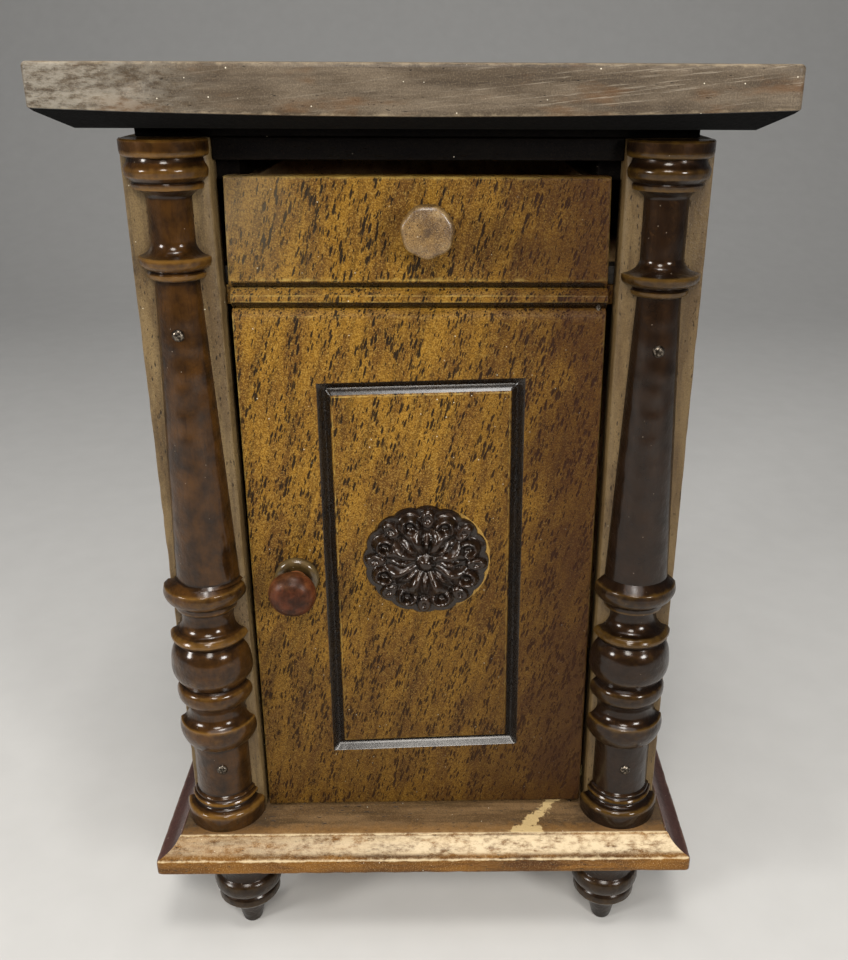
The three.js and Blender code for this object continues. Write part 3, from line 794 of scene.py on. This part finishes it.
def top_board(material):
    """The top: bowed lower arris, bevel underneath, rounded worn arrises, bites and one old dent."""
    low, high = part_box("top_board")
    arris, bow = 4.9 * MM, 1.7 * MM
    dent_x, dent_z = -65 * MM, high.z - 4.6 * MM
    depth, width = high.y - low.y, high.x - low.x
    verts, relief, rings = [], [], []
    for side, (length, inward) in enumerate(((depth, (1, 0, 0)), (width, (0, 1, 0)), (depth, (-1, 0, 0)))):
        marks = spaced(0, length, 2.4 * MM, 1.1 * MM)
        for s in marks if side == 0 else marks[1:]:
            t = s / length
            x_share = 2 * t - 1 if side == 1 else 1
            lower = low.z + arris - bow * (1 - x_share**2)
            ring = []
            for inset, z in top_outline(low.z, lower, high.z):
                if side == 1:
                    point = Vector((at(t, low.x + inset, high.x - inset, 0, 1), low.y + inset, z))
                else:
                    x = low.x + inset if side == 0 else high.x - inset
                    nearest = 1 - t if side == 0 else t
                    point = Vector((x, at(nearest, low.y + inset, high.y, 0, 1), z))
                lift = min(abs(z - lower), abs(z - high.z)) / MM
                edge = math.exp(-lift / 0.9) if inset < 3 * MM else 0.0
                bite = max(0.0, wave(point, 6, 4) * 0.8 + wave(point, 2, 9) * 0.5 - 0.12)
                amount = 0.55 * edge * bite + 0.1 * max(0.0, wave(point, 11, 6))
                if side == 1 and inset < 2 * MM:
                    across, up = (point.x - dent_x) / (3.4 * MM), (point.z - dent_z) / (2.6 * MM)
                    hollow = math.exp(-across**2 - up**2)
                    amount += 1.3 * hollow
                    edge -= 0.45 * hollow
                point += Vector(inward) * (amount * MM)
                if z > high.z - 0.5 * MM:
                    point.z -= 0.35 * edge * bite * MM
                # The bevel and underside get the shade mark and are painted near black: painted shade.
                if z < lower - 0.05 * MM:
                    edge = painted_shade_mark
                ring.append(len(verts))
                verts.append(rounded_corner(point, low, high, 1.4 * MM))
                relief.append(edge)
            rings.append(ring)
    faces = []
    for first, second in zip(rings, rings[1:]):
        for i in range(len(first) - 1):
            faces.append((first[i], first[i + 1], second[i + 1], second[i]))
    faces.append(tuple(ring[-1] for ring in rings))
    faces.append(tuple(ring[0] for ring in reversed(rings)))
    faces.append(tuple(rings[0]) + tuple(reversed(rings[-1])))
    closed_piece("top_board", verts, faces, relief, material)


def rounded_corner(point, low, high, radius):
    """Rounds the box's two front upright corners."""
    x = min(max(point.x, low.x + radius), high.x - radius)
    y = max(point.y, low.y + radius)
    away = Vector((point.x - x, point.y - y))
    if away.x and away.y:
        longest = max(abs(away.x), abs(away.y))
        away = away.normalized() * longest
    return Vector((x + away.x, y + away.y, point.z))


def moulding(node, side, material):
    """One length of the base moulding, mitred at the front corners. side is 0 for the front, or -1 or 1."""
    low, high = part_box("plinth_front")
    foot, head, reach = low.z, high.z, plinth_reach * MM
    half, front = high.x - reach, low.y + reach
    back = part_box("plinth_left")[1].y
    nose_top, pull, hollow_top = (plinth_reach, 5.2), (2.2, 5.9), (0.7, 9.5)
    curve = []
    for k in range(1, 12):
        t = k / 11
        weights = (1 - t) ** 2, 2 * t * (1 - t), t**2
        out, up = (sum(w * c for w, c in zip(weights, line)) for line in zip(nose_top, pull, hollow_top))
        curve.append((out * MM, foot + up * MM))
    profile = [(0, foot), (3 * MM, foot), (6.2 * MM, foot), (6.7 * MM, foot + 0.1 * MM)]
    profile += [(reach - 0.06 * MM, foot + 0.45 * MM), (reach, foot + 0.9 * MM)]
    profile += [(reach, foot + z * MM) for z in (1.7, 2.6, 3.5, 4.4)]
    profile += [(reach - 0.05 * MM, foot + 4.8 * MM), (reach - 0.25 * MM, foot + 5.1 * MM)]
    profile += curve
    profile += [(0.25 * MM, head), (0, head)]
    length = 2 * half if side == 0 else back - front
    sections = []
    for s in spaced(0, length, 2 * MM, 1.2 * MM):
        t = s / length
        points, marks = [], []
        for out, z in profile:
            if side == 0:
                point = Vector((at(t, -half - out, half + out, 0, 1), front - out, z))
                inward = Vector((0, 1, 0))
            else:
                point = Vector((side * (half + out), at(t, front - out, back, 0, 1), z))
                inward = Vector((-side, 0, 0))
            nose = math.exp(-abs(z - foot - 5.1 * MM) / (0.5 * MM))
            crown = math.exp(-abs(head - z) / (0.6 * MM))
            heel = math.exp(-abs(z - foot) / (0.5 * MM))
            bite = max(0.0, wave(point, 5, 7) + 0.6 * wave(point, 1.8, 2) - 0.1)
            if out > 0.5 * MM:
                point += inward * (0.45 * MM * bite * max(nose, heel, crown))
            elif z > head - MM:
                point.z -= 0.4 * MM * bite * crown
            points.append(rounded_corner(point, low, high, 1.3 * MM))
            # The nose, crown and heel are marked as worn and take the pale bare colour: wear and painted
            # highlight.
            marks.append(max(nose, crown, 0.7 * heel))
        sections.append((points, marks))
    swept(node, sections, material)


# ------------------------ carved rosette
first_petal = math.radians(65)


def rosette(material):
    """A carved flower, a little wider than it is tall, with a scalloped rim."""
    low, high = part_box("rosette")
    centre_x, centre_z = (low.x + high.x) / 2, (low.z + high.z) / 2
    wide, tall = (high.x - low.x) / 2, (high.z - low.z) / 2
    back, most = high.y, (high.y - low.y) / MM
    spokes, turns = 384, 80
    verts, relief = [], []
    for ring in range(turns + 1):
        for k in range(spokes):
            angle = 2 * math.pi * k / spokes
            lobe = abs(math.cos(8 * (angle - first_petal)))
            share = ring / turns * (0.94 + 0.06 * math.sqrt(lobe))
            spot = (share * math.cos(angle) * wide, 0, share * math.sin(angle) * tall)
            rise, mark = carving(share * tall / MM, angle, tall / MM)
            rise += 0.3 * wave(spot, 3.2, 5) + 0.07 * wave(spot, 1.1, 3)
            rise = 0.0 if ring == turns else min(max(rise, 0.1), most)
            verts.append((centre_x + spot[0], back - rise * MM, centre_z + spot[2]))
            relief.append(mark)
    faces = []
    for ring in range(turns):
        for k in range(spokes):
            n = (k + 1) % spokes
            a, b = ring * spokes + k, ring * spokes + n
            faces.append((a, b, b + spokes, a + spokes))
    last = turns * spokes
    faces.append(tuple(range(last, last + spokes)))
    mesh = mesh_of("rosette", verts, faces, relief)
    outward(mesh, merged=1e-7)
    stand_in("rosette", mesh, material)


def aside(r, angle, start):
    """Distance across the nearest of eight spokes, of which the first points at start."""
    sector = math.pi / 4
    return r * ((angle - start + sector / 2) % sector - sector / 2)


def carving(r, angle, radius):
    """(height, relief) of the flower at a distance and an angle from its middle, in millimetres: a boss,
    eight long petals that end in hooked loops, and between them short petals and buds at the rim."""
    dome = 1.9 * math.sqrt(max(0.0, 1 - (0.94 * r / radius) ** 2))
    boss = 2.6 * math.exp(-((r / 2.5) ** 3))
    off = aside(r, angle, first_petal)
    width = min(0.3 + 0.3 * r, 3.6)
    petal = 2.1 * band(r, 1, 6) * (1 - band(r, 10.5, 14)) * max(0.0, 1 - (off / width) ** 2)
    petal += 0.9 * math.exp(-((off / 1.5) ** 2) - ((r - 7.8) / 2.2) ** 2)
    petal -= 1.7 * math.exp(-((off / 1.3) ** 2) - ((r - 12) / 1.3) ** 2)
    around = math.hypot(off, r - 12.6)
    loop = 2.2 * band(r, 9.6, 12.4) * math.exp(-(((around - 2.3) / 0.95) ** 2))
    off = aside(r, angle, first_petal + math.pi / 8)
    short = 2.4 * math.exp(-((off / 1.35) ** 2) - ((r - 6.6) / 2.6) ** 2)
    bud = 2.1 * math.sqrt(max(0.0, 1 - (off / 2.1) ** 2 - ((r - 14.3) / 3.1) ** 2))
    bud -= 1.3 * math.exp(-((off / 0.9) ** 2) - ((r - 14.4) / 1.2) ** 2)
    raised = max(boss, petal, short, loop, bud, 0.0)
    gap = 1 - min(1.0, raised / 1.0)
    # The low ground between the raised parts gets a negative relief and is darkened: dirt and painted shade.
    return dome + raised, 0.4 * min(1.0, raised / 2.4) - 0.9 * gap


# ------------------------ materials
def front_marks(g, place, colour):
    """Redder and darker towards the right and the foot, greyer where hands have rubbed the left edge."""
    cloud = g.noise(place, 0.05, detail=3)
    side = g.plus(g.axis(place, 0), g.span(cloud, -22, 22))
    colour = g.stained(colour, g.band(side, 0, 48), 0.78, "2b1307")
    low = g.plus(g.axis(place, 2), g.span(cloud, -30, 30))
    colour = g.stained(colour, g.band(low, 190, 40), 0.6, "2e1b0c")
    rubbed = g.minus(g.span(cloud, -14, 14), g.axis(place, 0))
    rubbed = g.times(g.band(rubbed, 20, 50), g.band(g.axis(place, 2), 200, 240))
    colour = g.stained(colour, rubbed, 0.45, "6b6150")
    low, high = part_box("rosette")
    size = (2 * MM / (high.x - low.x), 0, 2 * MM / (high.z - low.z))
    flat = g.scaled(offset_from(g, place, "rosette"), size)
    away = g.add("VectorMath", {0: flat}, operation="LENGTH").outputs["Value"]
    halo = g.plus(away, g.span(g.noise(place, 0.6, detail=3), -0.03, 0.03))
    halo = g.times(g.band(halo, 1.025, 1.01), g.band(g.axis(flat, 0), 0.35, 0.7))
    halo = g.times(halo, g.band(g.axis(place, 1), -39, -40))
    return g.stained(colour, halo, 0.8, "a98646")


def offset_from(g, place, node):
    """The place relative to the middle of a CAD node's box."""
    low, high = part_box(node)
    centre = tuple((low + high) / 2 / MM)
    return g.add("VectorMath", {0: place, 1: centre}, operation="SUBTRACT").outputs[0]


def top_marks(g, place, colour):
    """Orange patches, pale slanting scratches towards the right and a bleached left end."""
    patches = g.noise(g.scaled(place, (0.4, 1, 1.3)), 0.12, detail=5, roughness=0.6)
    colour = g.stained(colour, g.band(patches, 0.5, 0.7), 0.55, "5f4022")
    slanted = g.turned(place, "Y", 6)
    lines = g.noise(g.scaled(slanted, (0.05, 1, 2.0)), 1.1, detail=5, roughness=0.75)
    amount = g.span(g.band(g.axis(place, 0), -10, 50), 0.2, 0.6)
    colour = g.mix(g.times(g.band(lines, 0.55, 0.66), amount), colour, srgb("948979"))
    grainy = g.noise(g.scaled(place, (0.45, 1, 1.2)), 0.6, detail=6, roughness=0.7)
    bleached = g.times(g.band(g.axis(place, 0), -40, -84), g.band(grainy, 0.36, 0.62))
    return g.stained(colour, bleached, 0.5, "a39d90")


def post_marks(g, place, colour):
    """The right post has kept more of its brown stain."""
    return g.stained(colour, g.band(g.axis(place, 0), -30, 60), 0.35, "45331a")


def knob_marks(g, place, colour):
    """A dark pip in the middle of the drawer knob's face."""
    flat = g.scaled(offset_from(g, place, "drawer_knob"), (1, 0, 1))
    away = g.add("VectorMath", {0: flat}, operation="LENGTH").outputs["Value"]
    away = g.plus(away, g.span(g.noise(place, 1.0, detail=3), -0.8, 0.8))
    return g.stained(colour, g.band(away, 1.5, 0.5), 0.7, "3a2a1c")


def painted_gap_shade(g, place, colour):
    """Near-black colour on the bare inner wood near the front, where it could be seen through the gaps:
    painted shade.
    """
    edge = g.plus(g.axis(place, 1), g.span(g.noise(place, 0.4), -2, 2))
    return g.stained(colour, g.band(edge, -26, -29), 0.98, "070503")


def plinth_marks(g, place, colour):
    """The hollow is pale, from wear and a painted highlight, less so towards the left, and the upright face
    below it stays stained.
    """
    height = g.axis(place, 2)
    patchy = g.noise(g.scaled(place, (0.5, 1, 1)), 0.5, detail=5, roughness=0.7)
    hollow = g.times(g.band(height, 37.9, 38.5), g.band(height, 42.4, 41.6))
    cloud = g.noise(place, 0.06, detail=2)
    along = g.plus(g.axis(place, 0), g.span(cloud, -20, 20))
    # Pale in the hollow: wear, and a painted highlight where the hollow faces the lamps above.
    pale = g.times(g.band(patchy, 0.28, 0.6), g.span(g.band(along, -75, 20), 0.38, 0.95))
    return g.mix(g.times(pale, hollow), colour, srgb("d3bf9c"))


def base_marks(g, place, colour):
    """Painted shadow near the columns, a worn front edge, and a ragged pale patch of filler."""
    x, y = g.axis(place, 0), g.axis(place, 1)
    ragged = g.noise(place, 0.35, detail=5, roughness=0.7)
    # Painted shadow: darker towards the ends, under the columns.
    shadowed = g.plus(g.math("ABSOLUTE", x), g.span(ragged, -8, 8))
    colour = g.stained(colour, g.band(shadowed, 44, 56), 0.6, "2b2118")
    worn = g.times(g.band(g.plus(y, g.span(ragged, -4, 4)), -49, -53), 0.3)
    colour = g.mix(worn, colour, srgb("9a6a2b"))
    slanted = g.minus(g.plus(x, g.span(ragged, -5, 5)), g.times(y, 0.78))
    across = g.math("ABSOLUTE", g.minus(slanted, 73.5))
    upright = g.band(across, 2.4, 1.7)
    wide = g.math("ABSOLUTE", g.minus(g.plus(x, g.span(ragged, -6, 6)), 33.5))
    near = g.plus(y, g.span(ragged, -2, 2))
    strip = g.times(g.band(wide, 5.4, 4.6), g.band(near, -51, -51.8))
    patch = g.math("MAXIMUM", upright, strip)
    return g.stained(colour, patch, 0.85, "cbb07c")


def make_materials():
    return {
        "front": wood("front_wood", "z", ("32200a", "654418", "8c6520"), "a98d4a", lean=-15, grit=0.55,
            gloss=0.42, coat=0.0, specular=0.14, finish=front_marks),
        "top": wood("top_wood", "x", ("2e261f", "4c4134", "675b4c"), "8f8069", pores=0.3, grit=0.22,
            gloss=0.46, coat=0.05, specular=0.15, finish=top_marks),
        "upright": wood("upright_wood", "z", ("2f2215", "574429", "74603f"), "84704e", pores=0.5, grit=0.25,
            gloss=0.42, coat=0.15, specular=0.3, wear=0.5, finish=post_marks),
        # Near black for the frieze rail, the sub-top and the drawer kickers, which sit in deep shade:
        # painted shade.
        "level": wood("painted_shade_wood", "x", ("030202", "060404", "0b0806"), "1a130d", pores=0.5, gloss=0.55,
            coat=0.0, specular=0.05, wear=0.3),
        "base": wood("base_wood", "x", ("30240f", "5a4328", "775c3c"), "957c55", pores=0.5, grit=0.3,
            gloss=0.5, coat=0.1, finish=base_marks),
        "plinth": wood("plinth_wood", "x", ("2a180b", "583610", "80551c"), "d2bd95", pores=0.4, grit=0.3,
            gloss=0.36, coat=0.05, specular=0.15, finish=plinth_marks),
        "return": wood("return_wood", "y", ("1f0f0d", "3a211c", "4d302a"), "6a5044", pores=0.4, grit=0.3,
            gloss=0.4, coat=0.3),
        "inner": wood("inner_wood", "y", ("8a6a45", "b08a5c", "c9a574"), "d4b88c", pores=0.5, grit=0.3,
            gloss=0.62, coat=0.0, wear=0.4, finish=painted_gap_shade),
        "inner_upright": wood("inner_upright_wood", "z", ("7e603f", "a58054", "bf9a6a"), "d4b88c",
            pores=0.5, grit=0.3, gloss=0.62, coat=0.0, wear=0.4),
        "knob": wood("knob_wood", "y", ("3a2816", "5c4426", "7c5f35"), "a1875b", pores=0.4, gloss=0.34,
            coat=0.4, wear=0.7, finish=knob_marks),
        "left_turning": varnished("left_turning", "120a05", "42290d", "7d5a26", coat=0.6,
                                  coat_roughness=0.14, pools=(0.25, 0.75)),
        "right_turning": varnished("right_turning", "060302", "1a0f07", "5c4319", coat=0.6,
                                   coat_roughness=0.14, pools=(0.25, 0.75)),
        "foot": varnished("foot_varnish", "070504", "1a120b", "4a3a22", coat=0.5, coat_roughness=0.2),
        "carving": varnished("carving_varnish", "030201", "160c06", "3a2415", coat=0.85,
                             coat_roughness=0.2),
        "collar": varnished("collar_varnish", "150e07", "30240f", "6d5c3c", coat=0.85),
        "pull": varnished("pull_varnish", "1f0d07", "4a2413", "80502c", gloss=0.45, coat=0.3,
                          coat_roughness=0.36),
        "steel": steel("tarnished_steel"),
    }


# ------------------------ pieces
def facing_front(node, material, **options):
    """A turned piece whose axis runs forwards from the middle of its back face."""
    turned_piece(node, back_centre(node), (0, -1, 0), material, **options)


def add_turnings(look):
    face_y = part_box("left_post")[0].y
    axis_set = column_axis_set * MM
    for side, offset in (("left", left_column_offset * MM), ("right", 0.0)):
        turned_piece(side + "_column", (back_centre(side + "_post")[0], face_y + axis_set, 0), (0, 0, 1),
                     look[side + "_turning"], flat_back=axis_set, wobble=0.12,
                     sway=lambda height, offset=offset: offset if height < shaft_foot * MM else 0.0)
        for place in ("upper", "lower"):
            facing_front(f"{side}_{place}_brad", look["steel"], wobble=0.05)
    for node in ("front_left_foot", "front_right_foot", "back_left_foot", "back_right_foot"):
        low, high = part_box(node)
        turned_piece(node, ((low.x + high.x) / 2, (low.y + high.y) / 2, 0), (0, 0, 1), look["foot"],
                     wobble=0.12)


def add_knobs(look):
    low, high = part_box("drawer_knob")
    tip = high.y - low.y

    def chipped(angle, height):
        """Seven flats worn on the rim of the head."""
        head = band(height, tip - 4 * MM, tip - 1.5 * MM)
        return 1 - 0.045 * head * math.sin(3.5 * angle) ** 2

    facing_front("drawer_knob", look["knob"], wobble=0.18, shape=chipped)
    facing_front("door_knob", look["pull"], wobble=0.12)
    facing_front("knob_collar", look["collar"], wobble=0.15, smallest=2.0)


def add_boards(look):
    top_board(look["top"])
    moulding("plinth_front", 0, look["plinth"])
    moulding("plinth_left", -1, look["return"])
    moulding("plinth_right", 1, look["return"])
    ease = 1.6 * MM
    for side, sign in (("left", -1), ("right", 1)):
        low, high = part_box(side + "_post")
        inner_x = high.x if sign < 0 else low.x
        point = np.array((inner_x, low.y + ease, 0))
        normal = np.array((-sign, -1, 0)) / math.sqrt(2)
        worn_box(side + "_post", 0.5, look["upright"], chamfer=(point, normal), dents=0.25)
        worn_box(side + "_side", 0.5, look["upright"], step=5)
        worn_box(side + "_shelf_cleat", 0.3, look["inner"], step=8)
        worn_box(side + "_drawer_guide", 0.3, look["inner"], step=8)
        # The kickers take the near-black wood: painted shade.
        worn_box(side + "_drawer_kicker", 0.3, look["level"], step=8)
        worn_box(f"drawer_{side}_side", 0.3, look["inner"], step=5)
    worn_box("base_board", 0.4, look["base"], dents=0.25)
    # The sub-top and frieze rail take the near-black wood: painted shade.
    worn_box("sub_top", 0.5, look["level"], step=5)
    worn_box("frieze_rail", 0.4, look["level"])
    worn_box("back_panel", 0.4, look["inner_upright"], step=5)
    worn_box("drawer_back", 0.3, look["inner"], step=5)
    worn_box("drawer_bottom", 0.2, look["inner"], step=5)
    softened("dividing_shelf", 0.25, look["front"])
    softened("latch_tongue", 0.3, look["inner_upright"])
    groove = [(x * MM, z * MM) for x, z in groove_corners]
    worked_board("door_board", door_depth, look["front"], groove=groove)
    worked_board("drawer_front", drawer_depth, look["front"])


def add_pins(look):
    for node in ("upper_pivot_pin", "lower_pivot_pin"):
        softened(node, 0.15, look["steel"])


add_camera()
add_floor()
add_lights()
looks = make_materials()
add_boards(looks)
add_turnings(looks)
add_knobs(looks)
rosette(looks["carving"])
add_pins(looks)
